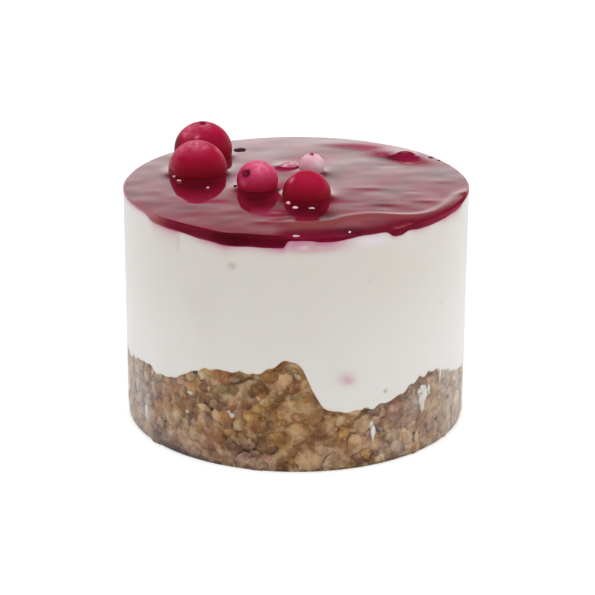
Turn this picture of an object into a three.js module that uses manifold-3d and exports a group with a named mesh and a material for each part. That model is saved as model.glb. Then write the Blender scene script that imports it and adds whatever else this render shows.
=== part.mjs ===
// A small round cheesecake inside a clear band, in millimetres.
// The origin is the centre of its underside, +Z is up, and its front faces -Y.
// From the bottom up: a pressed granola base, white cream cheese, a thin red jelly,
// and seven currants that sit partly sunk in the jelly.
// A bearing is an angle in degrees round the cake: 0 at the front, positive to the right (+X).
import * as THREE from "three";
import { mergeVertices } from "three/addons/utils/BufferGeometryUtils.js";
import Module from "manifold-3d";

const wasm = await Module();
wasm.setup();

// The clear band and the room inside it
const BAND_RADIUS = 35.0;
const BAND_HEIGHT = 48.3;
const BAND_THICKNESS = 0.4;
const BAND_SIDES = 96;
const SIDE_GAP = 0.3;
const LAYER_GAP = 0.35;
const BERRY_GAP = 0.3;
const FOOD_RADIUS = BAND_RADIUS - BAND_THICKNESS - SIDE_GAP;

// The granola base: its crest is a level with swells, each one a rise that is spread
// over a width at a bearing, and the rises of all swells add up to zero round the cake
const CREST_LEVEL = 11.6;
const CREST_SWELLS = [
  { rise: 2.8, bearing: -152, width: 6 },
  { rise: 5.0, bearing: -76, width: 12 },
  { rise: -2.8, bearing: -77.5, width: 5 },
  { rise: -1.2, bearing: -54, width: 1.5 },
  { rise: 5.0, bearing: -38, width: 7 },
  { rise: 3.9, bearing: -6.5, width: 4 },
  { rise: -12.0, bearing: 4.9, width: 4.2 },
  { rise: 5.5, bearing: 39.5, width: 9 },
  { rise: -6.2, bearing: 61, width: 12 },
  { rise: 3.4, bearing: 118, width: 9 },
  { rise: -3.4, bearing: 148, width: 7 },
];
const CREST_BUMP = 0.35;
const BASE_HEART_HEIGHT = 15.0;
const BASE_CHAMFER = 0.7;
const BASE_ROWS = 12;

// The granules that show on the wall of the base
const GRANULE_COLUMNS = 44;
const GRANULE_SIZE = (2 * Math.PI * FOOD_RADIUS) / GRANULE_COLUMNS;
const GRANULE_JITTER = 0.75;
const GRANULE_RELIEF = 1.15;
const LOOSE_GRANULE_RELIEF = 0.8;
const RELIEF_FADE = 1.6;

// The cream cheese
const CREAM_ROWS = 4;

// The jelly: its lower edge at the wall, and a front right side that falls towards the wall
const JELLY_TOP = 48.2;
const JELLY_HEART_UNDERSIDE = 46.3;
const JELLY_EDGE_LEVEL = 46.95;
const JELLY_EDGE_SWELLS = [
  { rise: 0.65, bearing: -98, width: 5 },
  { rise: -0.8, bearing: -54.5, width: 2.5 },
  { rise: -0.6, bearing: -34, width: 7 },
  { rise: 1.3, bearing: -3, width: 1.5 },
  { rise: -0.65, bearing: 31, width: 1.5 },
  { rise: 0.45, bearing: 38, width: 1.5 },
  { rise: 0.25, bearing: 62, width: 5 },
  { rise: -0.6, bearing: 100, width: 6 },
];
const JELLY_FALL = 0.17;
const JELLY_FALL_SWELLS = [
  { rise: 1, bearing: -5, width: 4 },
  { rise: -1, bearing: 84, width: 6 },
];
const JELLY_RIDGE_RADIUS = 25.5;
const JELLY_WAVE = 0.12;

// The currants: centre, half width along X, half depth along Y, half height along Z,
// and where the dried flower end points, as a bearing and an angle above level. The last two
// lie so deep that their flower ends don't show.
const BERRIES = {
  currant_back_left: { centre: [-19.65, 19.85, 49.6], half: [6.05, 5.75, 6.0], flower: [4, 86] },
  currant_front_left: { centre: [-20.25, 7.6, 48.9], half: [6.05, 5.65, 6.0], flower: [-140, 35] },
  currant_middle: { centre: [-7.75, -3.5, 49.9], half: [4.2, 4.1, 4.15], flower: [-37, 37] },
  currant_front_right: { centre: [2.1, -8.8, 48.75], half: [4.9, 4.8, 4.85], flower: [170, 25] },
  currant_pale: { centre: [3.2, 7.6, 49.7], half: [2.6, 2.5, 2.6], flower: [0, 86] },
  currant_sunk: { centre: [22.9, 19.6, 46.65], half: [3.3, 2.7, 2.8] },
  currant_low: { centre: [-1.6, 11.6, 47.0], half: [2.6, 2.3, 2.3] },
};
const BERRY_MERIDIANS = 18;
const BERRY_PARALLELS = 12;
const SMALL_BERRY_MERIDIANS = 14;
const SMALL_BERRY_PARALLELS = 9;
const SMALL_BERRY_BELOW = 3.5;
const FLOWER_RADIUS = 0.62;
const FLOWER_HEIGHT = 0.55;
const FLOWER_SINK = 0.45;
const FLOWER_SIDES = 7;

// Rings that the three layers share, from the wall inwards: radius and number of sides
const LAYER_RINGS = [
  { radius: FOOD_RADIUS, sides: 120 },
  { radius: 31, sides: 120 },
  { radius: 26, sides: 60 },
  { radius: 19, sides: 60 },
  { radius: 10, sides: 30 },
];

const toRadians = THREE.MathUtils.degToRad;
const { lerp, clamp, smoothstep } = THREE.MathUtils;

/** A level with swells on it, at a bearing: each swell is a smooth step up or down. */
function swelling(level, swells, bearing) {
  let height = level;
  for (const swell of swells) {
    height += swell.rise * 0.5 * (1 + Math.tanh((bearing - swell.bearing) / swell.width));
  }
  return height;
}

/** A repeatable number from 0 to 1 for a cell of the granule pattern. */
function cellNumber(column, row, salt) {
  const wrapped = ((column % GRANULE_COLUMNS) + GRANULE_COLUMNS) % GRANULE_COLUMNS;
  const scrambled = Math.sin(wrapped * 127.1 + row * 311.7 + salt * 74.7) * 43758.5453;
  return scrambled - Math.floor(scrambled);
}

/** How deep the base's wall lies behind its smooth cylinder: domed granules with gaps between them. */
function granuleRecess(bearing, height) {
  const across = ((bearing + 180) / 360) * GRANULE_COLUMNS;
  const up = height / GRANULE_SIZE;
  const column = Math.floor(across);
  const row = Math.floor(up);
  let nearest = Infinity;
  let looseness = 0;
  for (let i = column - 1; i <= column + 1; i += 1) {
    for (let j = row - 1; j <= row + 1; j += 1) {
      const seedAcross = i + 0.5 + GRANULE_JITTER * (cellNumber(i, j, 1) - 0.5);
      const seedUp = j + 0.5 + GRANULE_JITTER * (cellNumber(i, j, 2) - 0.5);
      const distance = Math.hypot(across - seedAcross, up - seedUp);
      if (distance < nearest) {
        nearest = distance;
        looseness = cellNumber(i, j, 3);
      }
    }
  }
  const dome = clamp(nearest / 0.7, 0, 1) ** 2;
  return GRANULE_RELIEF * dome + LOOSE_GRANULE_RELIEF * looseness ** 2;
}

/** Height of the granola's crest at the wall. */
function crestHeight(bearing) {
  const angle = toRadians(bearing);
  const bumps = Math.sin(17 * angle + 0.6) + 0.7 * Math.sin(29 * angle + 2.1);
  return swelling(CREST_LEVEL, CREST_SWELLS, bearing) + CREST_BUMP * bumps;
}

/** Height of the granola's top: its crest at the wall, evening out towards the heart of the cake. */
function baseTop(bearing, radius) {
  return lerp(BASE_HEART_HEIGHT, crestHeight(bearing), (radius / FOOD_RADIUS) ** 2);
}

/** Height of the jelly's underside: its edge line at the wall, level towards the heart. */
function jellyUnderside(bearing, radius) {
  const edge = swelling(JELLY_EDGE_LEVEL, JELLY_EDGE_SWELLS, bearing);
  return lerp(JELLY_HEART_UNDERSIDE, edge, smoothstep(radius, 0.6 * FOOD_RADIUS, FOOD_RADIUS));
}

/** Height of the jelly's top: slow waves, and a fall beyond the ridge at the front right. */
function jellyTop(bearing, radius) {
  const angle = toRadians(bearing);
  const share = radius / FOOD_RADIUS;
  const waves = JELLY_WAVE * share * Math.sin(2 * angle + 5 * share) * (1 - share);
  const fall = JELLY_FALL * swelling(0, JELLY_FALL_SWELLS, bearing);
  return JELLY_TOP + waves - fall * smoothstep(radius, JELLY_RIDGE_RADIUS, FOOD_RADIUS);
}

/** A ring of points: radius and height are numbers, or functions of the bearing. */
function ring(sides, radius, height) {
  const points = [];
  for (let i = 0; i < sides; i += 1) {
    const bearing = (360 * i) / sides - 180;
    const z = typeof height === "function" ? height(bearing) : height;
    const r = typeof radius === "function" ? radius(bearing) : radius;
    const angle = toRadians(bearing);
    points.push(new THREE.Vector3(r * Math.sin(angle), -r * Math.cos(angle), z));
  }
  return points;
}

/**
 * Triangles between two neighbouring rings, facing out when the rings run from the bottom
 * centre outwards, up the wall and in to the top centre. A ring may have as many points as
 * the other one, twice as many, half as many, or be a single point. Quads are split the same
 * way on an upper and a lower face, so that two layers with like rings fit each other.
 */
function bridge(lower, upper, triangles) {
  const steps = Math.max(lower.length, upper.length);
  const pick = (points, i) => points[Math.floor((i * points.length) / steps) % points.length];
  const spreading = Math.hypot(lower[0].x, lower[0].y) < Math.hypot(upper[0].x, upper[0].y);
  const halves = spreading ? [[0, 1, 3], [1, 2, 3]] : [[0, 1, 2], [0, 2, 3]];
  for (let i = 0; i < steps; i += 1) {
    const corners = [pick(lower, i), pick(lower, i + 1), pick(upper, i + 1), pick(upper, i)];
    for (const half of halves) {
      const [p, q, r] = half.map((corner) => corners[corner]);
      if (p !== q && q !== r && r !== p) triangles.push(p, q, r);
    }
  }
}

/** A closed geometry from a stack of rings whose first and last are single points. */
function stackGeometry(rings) {
  const corners = [];
  for (let i = 1; i < rings.length; i += 1) bridge(rings[i - 1], rings[i], corners);
  return mergeVertices(new THREE.BufferGeometry().setFromPoints(corners), 1e-5);
}

/** The rings of one face of a layer, from the wall inwards, ending in the centre point. */
function faceRings(heightAt) {
  const rings = LAYER_RINGS.map(({ radius, sides }) =>
    ring(sides, radius, (bearing) => heightAt(bearing, radius)));
  rings.push([new THREE.Vector3(0, 0, heightAt(0, 0))]);
  return rings;
}

/** The solid of a closed geometry, for cutting and joining. */
function toSolid(geometry) {
  const plain = geometry.clone();
  plain.deleteAttribute("normal");
  plain.deleteAttribute("uv");
  const merged = mergeVertices(plain, 1e-5);
  const vertProperties = new Float32Array(merged.attributes.position.array);
  const triVerts = new Uint32Array(merged.index.array);
  return new wasm.Manifold(new wasm.Mesh({ numProp: 3, vertProperties, triVerts }));
}

/** The geometry of a solid. */
function toGeometry(solid) {
  const mesh = solid.getMesh();
  const geometry = new THREE.BufferGeometry();
  geometry.setAttribute("position", new THREE.BufferAttribute(mesh.vertProperties, 3));
  geometry.setIndex(new THREE.BufferAttribute(mesh.triVerts, 1));
  geometry.computeVertexNormals();
  return geometry;
}

/** A currant's skin as an ellipsoid grown by a clearance, poles up and down, in its place. */
function berrySkin({ centre, half }, clearance) {
  const small = Math.max(...half) < SMALL_BERRY_BELOW;
  const meridians = small ? SMALL_BERRY_MERIDIANS : BERRY_MERIDIANS;
  const parallels = small ? SMALL_BERRY_PARALLELS : BERRY_PARALLELS;
  const geometry = new THREE.SphereGeometry(1, meridians, parallels);
  geometry.rotateX(Math.PI / 2);
  geometry.scale(half[0] + clearance, half[1] + clearance, half[2] + clearance);
  geometry.translate(...centre);
  return geometry;
}

/** The dried flower end of a currant: a short flared stub that stands on the skin. */
function flowerEnd({ centre, half, flower }) {
  const [bearing, elevation] = flower.map(toRadians);
  const outward = new THREE.Vector3(
    Math.cos(elevation) * Math.sin(bearing),
    -Math.cos(elevation) * Math.cos(bearing),
    Math.sin(elevation),
  );
  const reach = 1 / Math.hypot(outward.x / half[0], outward.y / half[1], outward.z / half[2]);
  const length = FLOWER_HEIGHT + FLOWER_SINK;
  const stub = new THREE.CylinderGeometry(FLOWER_RADIUS, 0.7 * FLOWER_RADIUS, length, FLOWER_SIDES);
  stub.applyQuaternion(new THREE.Quaternion().setFromUnitVectors(new THREE.Vector3(0, 1, 0), outward));
  const middle = outward.multiplyScalar(reach + (FLOWER_HEIGHT - FLOWER_SINK) / 2);
  stub.translate(centre[0] + middle.x, centre[1] + middle.y, centre[2] + middle.z);
  return stub;
}

/** A layer with the beds of all currants cut out of it. */
function withBeds(geometry) {
  let solid = toSolid(geometry);
  for (const berry of Object.values(BERRIES)) {
    solid = solid.subtract(toSolid(berrySkin(berry, BERRY_GAP)));
  }
  return toGeometry(solid);
}

/** The granola base: flat below, lumpy on its wall, with a crest that rises and falls. */
function baseGeometry() {
  const sides = LAYER_RINGS[0].sides;
  const heartRing = LAYER_RINGS.at(-1);
  const rings = [
    [new THREE.Vector3(0, 0, 0)],
    ring(heartRing.sides, heartRing.radius, 0),
    ring(2 * heartRing.sides, 2 * heartRing.radius, 0),
    ring(sides, FOOD_RADIUS - BASE_CHAMFER, 0),
  ];
  for (let row = 0; row < BASE_ROWS; row += 1) {
    const heightAt = (bearing) => lerp(BASE_CHAMFER, crestHeight(bearing), row / BASE_ROWS);
    const radiusAt = (bearing) => {
      const below = crestHeight(bearing) - heightAt(bearing);
      const recess = granuleRecess(bearing, heightAt(bearing)) * clamp(below / RELIEF_FADE, 0, 1);
      return FOOD_RADIUS - recess;
    };
    rings.push(ring(sides, radiusAt, heightAt));
  }
  rings.push(...faceRings(baseTop));
  return stackGeometry(rings);
}

/** The cream cheese: it fills every dip of the granola and has a level top. */
function creamGeometry() {
  const sides = LAYER_RINGS[0].sides;
  const bottomAt = (bearing, radius) => baseTop(bearing, radius) + LAYER_GAP;
  const topAt = (bearing, radius) => jellyUnderside(bearing, radius) - LAYER_GAP;
  const rings = faceRings(bottomAt).reverse();
  for (let row = 1; row < CREAM_ROWS; row += 1) {
    const heightAt = (bearing) =>
      lerp(bottomAt(bearing, FOOD_RADIUS), topAt(bearing, FOOD_RADIUS), row / CREAM_ROWS);
    rings.push(ring(sides, FOOD_RADIUS, heightAt));
  }
  rings.push(...faceRings(topAt));
  return stackGeometry(rings);
}

/** The jelly: a thin disc that fills the band up to its rim. */
function jellyGeometry() {
  return stackGeometry([...faceRings(jellyUnderside).reverse(), ...faceRings(jellyTop)]);
}

/** One currant as one solid, with its flower end where that shows. */
function currantGeometry(berry) {
  const skin = toSolid(berrySkin(berry, 0));
  return toGeometry(berry.flower ? skin.add(toSolid(flowerEnd(berry))) : skin);
}

/** The clear band: an open cylinder of film that stands on its lower rim. */
function bandGeometry() {
  const innerRadius = BAND_RADIUS - BAND_THICKNESS;
  const profile = [
    new THREE.Vector2(innerRadius, 0),
    new THREE.Vector2(BAND_RADIUS, 0),
    new THREE.Vector2(BAND_RADIUS, BAND_HEIGHT),
    new THREE.Vector2(innerRadius, BAND_HEIGHT),
    new THREE.Vector2(innerRadius, 0),
  ];
  const geometry = new THREE.LatheGeometry(profile, BAND_SIDES);
  geometry.rotateX(Math.PI / 2);
  return geometry;
}

const granola = new THREE.MeshStandardMaterial({ color: 0x8a6a44, roughness: 0.85, metalness: 0 });
const creamCheese = new THREE.MeshStandardMaterial({ color: 0xe6e0da, roughness: 0.5, metalness: 0 });
const jelly = new THREE.MeshStandardMaterial({ color: 0x6e1426, roughness: 0.08, metalness: 0 });
const redSkin = new THREE.MeshStandardMaterial({ color: 0x9c1834, roughness: 0.25, metalness: 0 });
const pinkSkin = new THREE.MeshStandardMaterial({ color: 0xc0446a, roughness: 0.3, metalness: 0 });
const paleSkin = new THREE.MeshStandardMaterial({ color: 0xdaa3af, roughness: 0.35, metalness: 0 });
const film = new THREE.MeshStandardMaterial({
  color: 0xf4f6f6,
  roughness: 0.06,
  metalness: 0,
  transparent: true,
  opacity: 0.2,
});
const BERRY_SKINS = { currant_middle: pinkSkin, currant_pale: paleSkin, currant_low: paleSkin };

const group = new THREE.Group();

/** Adds a piece to the cake under its name, with a material of its own. */
function addPiece(name, geometry, material) {
  const mesh = new THREE.Mesh(geometry, material.clone());
  mesh.name = name;
  group.add(mesh);
}

addPiece("granola_base", baseGeometry(), granola);
addPiece("cream_filling", withBeds(creamGeometry()), creamCheese);
addPiece("berry_jelly", withBeds(jellyGeometry()), jelly);
for (const [name, berry] of Object.entries(BERRIES)) {
  addPiece(name, currantGeometry(berry), BERRY_SKINS[name] ?? redSkin);
}
addPiece("clear_band", bandGeometry(), film);

export default group;
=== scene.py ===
# A small round cheesecake in a clear band, dressed for a close look.
# It is put together from the bottom up: granola base, cream cheese, jelly, currants, clear band.
# Lengths are millimetres in the formulas and metres in the meshes. A bearing is an angle in
# degrees round the cake, 0 at the front (-Y) and positive to the right (+X).
import math

import bpy
import numpy as np
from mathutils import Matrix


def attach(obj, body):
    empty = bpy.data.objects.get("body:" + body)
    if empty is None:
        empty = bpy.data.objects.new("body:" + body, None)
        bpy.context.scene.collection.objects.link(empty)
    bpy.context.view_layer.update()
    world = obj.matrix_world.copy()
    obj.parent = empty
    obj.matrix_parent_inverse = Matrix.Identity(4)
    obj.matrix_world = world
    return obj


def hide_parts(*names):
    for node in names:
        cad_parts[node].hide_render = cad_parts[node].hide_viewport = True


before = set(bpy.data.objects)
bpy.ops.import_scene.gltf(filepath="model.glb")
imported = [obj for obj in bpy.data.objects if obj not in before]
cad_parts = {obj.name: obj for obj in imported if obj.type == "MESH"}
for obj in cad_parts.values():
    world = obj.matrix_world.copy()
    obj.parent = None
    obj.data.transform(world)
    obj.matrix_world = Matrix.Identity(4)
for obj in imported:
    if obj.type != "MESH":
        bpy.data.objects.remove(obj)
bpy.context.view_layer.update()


# Granola base
# Oats, nuts and seeds bound with syrup, pressed into the bottom of the band by hand, so that
# its crest rises and falls round the wall. It is made as a core of packed crumbs, with the
# larger bits pressed into it as meshes of their own, one for each kind of bit.
MM = 0.001
FOOD_RADIUS = 34.9
GIRTH = 2 * math.pi * FOOD_RADIUS
CREST_LEVEL = 11.6
# Swells of the crest round the cake: rise, bearing, width
CREST_SWELLS = [
    (2.8, -152, 6), (5.0, -76, 12), (-2.8, -77.5, 5), (-1.2, -54, 1.5), (5.0, -38, 7), (3.9, -6.5, 4),
    (-12.0, 4.9, 4.2), (5.5, 39.5, 9), (-6.2, 61, 12), (3.4, 118, 9), (-3.4, 148, 7),
]
WALL_COLUMNS = 600
CORE_ROWS = 70
UNDERSIDE_RINGS = 46
UNDERSIDE_INSET = 2.0
UNDERSIDE_CUT = 0.35
HIDDEN_RINGS = 4
CORE_DEPTH = 0.45
CORE_DEPTH_FULL = 1.2
RELIEF_FULL = 1.6
CREST_OVERLAP = 1.6
FOOT_HEIGHT = 0.8
FOOT_ROUNDING = 0.7
# How sharply the film and the board hold the food back, and how it leans in over the crest
FILM_SHARPNESS = 5.0
BOARD_SHARPNESS = 12.0
BOARD_GAP = 0.04
LEAN_START = 0.2
LEAN_IN = 0.5
# Sizes of crumb in the core: cell size, salt of its random numbers, lift
CRUMB_SIZES = [(4.4, 11, 0.10), (2.9, 23, 0.05), (1.7, 37, -0.10)]
GAP_DEPTH = 1.3
# A crumb's shape as shares of its cell: how far it strays, its least half size and how much longer it
# may be, its thickness, and how its top varies about a level
CRUMB_STRAY = 0.8
CRUMB_LEAST = 0.60
CRUMB_LONGER = 0.35
CRUMB_THICKNESS = 0.36
CRUMB_TOPS = 0.24
CRUMB_TOP_LEVEL = 0.55
NO_CRUMB = -9.0
GAP_KIND = 0.999
# What a cell's column, row and salt are multiplied by, and their sine, for a number that looks random
SCRAMBLE = (127.1, 311.7, 74.7)
SCRAMBLE_SIZE = 43758.5453
CRUMB_TINTS = [
    (0.50, 0.270, 0.088), (0.38, 0.165, 0.056), (0.58, 0.370, 0.190), (0.44, 0.275, 0.118),
    (0.46, 0.240, 0.150), (0.22, 0.104, 0.056),
]
# Patches of another colour on the granola's wall: that colour, and for each patch its bearing, height,
# half width, half height and strength
WALL_PATCHES = [
    ((0.48, 0.255, 0.062), [
        (0, 10, 8, 7, 0.5), (-6, 7, 2.5, 3, 0.4), (22, 4, 6, 3, 0.3), (150, 6, 9, 5, 0.5),
    ]),
    ((0.24, 0.112, 0.052), [
        (-11, 18.5, 3.5, 3, 0.5), (-17, 4, 5, 3.5, 0.5), (6, 8, 2.5, 4, 0.5), (-11, 10, 2, 1.6, 0.5),
        (-33, 13, 4, 2.5, 0.3), (140, 9, 4, 3, 0.4), (-105, 9, 5, 3, 0.3),
    ]),
    ((0.42, 0.150, 0.050), [
        (-27, 5.5, 3, 3, 0.6), (-52, 10, 3, 4, 0.5), (1, 11, 4, 3, 0.3), (-150, 7, 6, 4, 0.5),
    ]),
    ((0.40, 0.255, 0.200), [
        (-40, 2.5, 10, 2.5, 0.6), (-15, 2, 4, 1.8, 0.6), (-68, 7, 7, 9, 0.7), (12, 3, 3, 2.5, 0.6),
        (40, 9, 8, 5, 0.6), (100, 5, 9, 4, 0.5), (-128, 4, 8, 3, 0.5),
    ]),
    # Pale patches: painted glare and glints of light in the film over the granola
    ((0.60, 0.55, 0.49), [
        (45.3, 11.6, 1.8, 2.4, 0.9), (26, 7.6, 1.1, 2.4, 0.5), (60, 14, 1.0, 3.5, 0.7),
        (66, 9, 5, 9, 0.5), (-60, 6, 1.5, 3.5, 0.7), (-66, 10, 3, 6, 0.4), (34, 3, 5, 2, 0.3),
        (-131, 8.2, 1.4, 2.2, 0.7), (163, 6, 1.0, 2.0, 0.7),
    ]),
    # Near black patches: painted shade in deep gaps between the bits and along the foot
    ((0.075, 0.045, 0.040), [
        (-8.3, 9.3, 0.9, 1.3, 0.8), (-21.6, 4.3, 0.6, 0.5, 0.9), (-34.5, 8.8, 0.5, 1.0, 0.8),
        (26.2, 11.4, 0.9, 1.0, 0.8), (-45, 0.7, 12, 0.9, 0.8), (-8, 1.3, 2.0, 0.8, 0.6),
        (37, 9.5, 0.7, 1.3, 0.5), (120, 7, 1.0, 1.2, 0.7), (-170, 5, 0.8, 1.4, 0.7),
    ]),
]
PATCH_LIMIT = 0.85
# Painted shadow where the granola meets the table: the share of its colour left at the very bottom
PAINTED_FOOT_SHADOW = 0.25

wall_bearings = np.linspace(-180, 180, WALL_COLUMNS, endpoint=False)


def swelling(level, swells, bearing):
    """A level plus smooth steps: each adds rise times half of one plus tanh of the distance over width."""
    return level + sum(rise * 0.5 * (1 + np.tanh((bearing - at) / width)) for rise, at, width in swells)


def smooth(low, high, value):
    """A smooth step from 0 at low to 1 at high: 3 t squared minus 2 t cubed of the clamped share."""
    share = np.clip((value - low) / (high - low), 0, 1)
    return share * share * (3 - 2 * share)


def held_under(value, limit, sharpness):
    """A soft minimum: the limit less the log of one plus exp of the shortfall, times and over sharpness."""
    return limit - np.logaddexp(0, (limit - value) * sharpness) / sharpness


def together(*values):
    """Values spread over one another and stacked on a last axis, as x, y and z or as colour channels."""
    return np.stack(np.broadcast_arrays(*values), axis=-1)


def around(bearing, radius, height):
    """Points of the cake from bearing, radius and height: x is r sin b, y is minus r cos b."""
    angle = np.radians(bearing)
    return together(radius * np.sin(angle), -radius * np.cos(angle), height)


def pressed(bearing, radius, height):
    """
    Food held back by the film, the board and the cream: its radius stays softly under the film's and
    shrinks by half the excess over the crest to the power 1.5, and its height stays above nought.
    """
    over = np.clip(height - swelling(CREST_LEVEL, CREST_SWELLS, bearing) + LEAN_START, 0, None)
    radius = held_under(radius, FOOD_RADIUS, FILM_SHARPNESS) - LEAN_IN * over ** 1.5
    return around(bearing, radius, -held_under(-height, -BOARD_GAP, BOARD_SHARPNESS))


def cell_number(column, row, salt, columns):
    """A repeatable number from 0 to 1 for each cell: the fraction of a large sine of its place."""
    by_column, by_row, by_salt = SCRAMBLE
    scrambled = np.sin((column % columns) * by_column + row * by_row + salt * by_salt) * SCRAMBLE_SIZE
    return scrambled - np.floor(scrambled)


def domes(across, up, columns, size, salt):
    """
    The tallest of the elliptical domes that a jittered grid of cells scatters over a face: top height
    minus thickness times one minus the root of one minus distance squared. Places are counted in cells,
    and the pattern repeats after some columns. Returns that height, and a number that tells crumbs apart.
    """
    best = np.full(across.shape, NO_CRUMB)
    pick = np.zeros(across.shape)
    for i in (-1, 0, 1):
        for j in (-1, 0, 1):
            column = np.floor(across) + i
            row = np.floor(up) + j

            def drawn(number):
                return cell_number(column, row, salt + number, columns)

            aside = across - column - 0.5 - CRUMB_STRAY * (drawn(1) - 0.5)
            above = up - row - 0.5 - CRUMB_STRAY * (drawn(2) - 0.5)
            turn = math.pi * drawn(3)
            long = CRUMB_LEAST + CRUMB_LONGER * drawn(4)
            short = long * (CRUMB_LEAST + CRUMB_LONGER * drawn(5))
            square = ((aside * np.cos(turn) + above * np.sin(turn)) / long) ** 2
            square = square + ((above * np.cos(turn) - aside * np.sin(turn)) / short) ** 2
            top = CRUMB_TOPS * size * (drawn(6) - CRUMB_TOP_LEVEL)
            sink = CRUMB_THICKNESS * size * (1 - np.sqrt(np.clip(1 - square, 0, 1)))
            dome = np.where(square < 1, top - sink, NO_CRUMB)
            pick = np.where(dome > best, drawn(7), pick)
            best = np.maximum(best, dome)
    return best, pick


def marks(bearing, height, places):
    """The sum of soft elliptical marks: strength times exp of minus the squared distance."""
    total = np.zeros(np.broadcast_shapes(bearing.shape, height.shape))
    for at, level, wide, tall, strength in places:
        aside = np.radians((bearing - at + 180) % 360 - 180) * FOOD_RADIUS / wide
        total += strength * np.exp(-aside ** 2 - ((height - level) / tall) ** 2)
    return total


def patched(colour, bearing, height):
    """Granola colours pulled towards those of the wall's patches, and a painted shadow that darkens the
    lowest millimetre.
    """
    for toward, places in WALL_PATCHES:
        share = np.clip(marks(bearing, height, places), 0, PATCH_LIMIT)[..., None]
        colour = colour * (1 - share) + np.array(toward) * share
    return colour * (PAINTED_FOOT_SHADOW + (1 - PAINTED_FOOT_SHADOW) * smooth(0.1, 1.1, height))[..., None]


def opaque(colour):
    """Colours with a fourth channel of one."""
    return np.concatenate([colour, np.ones(colour.shape[:-1] + (1,))], axis=-1)


def packed_crumbs(cells):
    """
    Relief of packed crumbs, the tallest of three sizes of dome over a gap, and their colours: each crumb has
    its own shade, with painted shade deep in a gap and under an overhang, and painted light where the relief
    faces up. For a size of dome, cells gives the two places in cells and the columns of a repeat.
    """
    relief = np.full(cells(1.0)[0].shape, -GAP_DEPTH)
    kind = np.full(relief.shape, GAP_KIND)
    for size, salt, lift in CRUMB_SIZES:
        dome, pick = domes(*cells(size), size, salt)
        kind = np.where(dome + lift > relief, pick, kind)
        relief = np.maximum(relief, dome + lift)
    tints = np.array(CRUMB_TINTS)
    own_shade = 0.72 + 0.50 * (kind * 97.0 % 1.0)
    # Painted light and shade: darker deep in a gap and under an overhang, lighter where the relief faces up
    painted_gap_shade = 0.40 + 0.60 * smooth(-1.2, -0.2, relief)
    overhang = np.clip(np.gradient(relief, axis=0), -0.25, 0.25)
    light = own_shade * painted_gap_shade * (1 - 1.2 * overhang)
    return relief, tints[(kind * len(tints)).astype(int)] * light[..., None]


def shell_faces(rows, sides):
    """Quads between neighbouring rings, and a fan at each end to a pole that follows the rings."""
    here = np.arange(sides)
    after = np.roll(here, -1)
    first = np.arange(rows - 1)[:, None] * sides
    quads = np.stack([first + here, first + after, first + sides + after, first + sides + here], axis=-1)
    last = (rows - 1) * sides
    low_fan = np.stack([np.full(sides, rows * sides), after, here], axis=-1)
    high_fan = np.stack([last + here, last + after, np.full(sides, rows * sides + 1)], axis=-1)
    return quads.reshape(-1, 4), np.concatenate([low_fan, high_fan])


def mesh_piece(name, points, faces, colours=None):
    """An object from points in millimetres, faces of any sides, and a colour for each point."""
    mesh = bpy.data.meshes.new(name)
    mesh.from_pydata((points * MM).tolist(), [], [face for group in faces for face in group.tolist()])
    mesh.shade_smooth()
    if colours is not None:
        tint = mesh.color_attributes.new("tint", "FLOAT_COLOR", "POINT")
        tint.data.foreach_set("color", colours.astype(np.float32).ravel())
    piece = bpy.data.objects.new(name, mesh)
    bpy.context.scene.collection.objects.link(piece)
    return piece


def closed_skin(name, rings, colours=None):
    """
    A closed mesh from rings (rows, sides, 3) that run from the bottom centre out, up the wall and
    in to the top centre, with a pole in the middle of the first ring and of the last.
    """
    def with_poles(values):
        return np.concatenate([values.reshape(-1, values.shape[-1]), values[[0, -1]].mean(axis=1)])

    faces = shell_faces(*rings.shape[:2])
    return mesh_piece(name, with_poles(rings), faces, None if colours is None else with_poles(colours))


def granola_core():
    """
    The core's closed skin: crumbly underside, crumbly wall to just past the crest, plain hidden top. The
    wall's radius is the food's less a depth, plus the relief, less a square curve at the foot.
    """
    crest = swelling(CREST_LEVEL, CREST_SWELLS, wall_bearings)
    height = np.linspace(0, 1, CORE_ROWS)[:, None] * (crest + CREST_OVERLAP)
    bearing = np.broadcast_to(wall_bearings, height.shape)

    def wall_cells(size):
        columns = round(GIRTH / size)
        return (bearing + 180) / 360 * columns, height / size, columns

    def underside_cells(size):
        never = 10 ** 6
        return under[..., 0] / size, under[..., 1] / size, never

    relief, wall_colour = packed_crumbs(wall_cells)
    relief = relief * smooth(0, RELIEF_FULL, height)
    foot = FOOT_ROUNDING * np.clip(FOOT_HEIGHT - height, 0, None) ** 2
    depth = CORE_DEPTH * smooth(0, CORE_DEPTH_FULL, height)
    wall = pressed(bearing, FOOD_RADIUS - depth + relief - foot, height)
    wall_colour = patched(wall_colour, bearing, height)
    radius = np.linspace(0.01, 1, UNDERSIDE_RINGS)[:, None] * (FOOD_RADIUS - UNDERSIDE_INSET)
    under = around(wall_bearings, radius, 0.0)
    relief, under_colour = packed_crumbs(underside_cells)
    under[..., 2] = np.clip(-UNDERSIDE_CUT - relief, 0, None)
    inwards = np.linspace(0.9, 0.05, HIDDEN_RINGS)[:, None]
    hidden = around(wall_bearings, inwards * FOOD_RADIUS, height[-1])
    hidden_colour = np.repeat(wall_colour[-1:], HIDDEN_RINGS, axis=0)
    colours = opaque(np.concatenate([under_colour, wall_colour, hidden_colour]))
    return closed_skin("granola_core", np.concatenate([under, wall, hidden]), colours)


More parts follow.
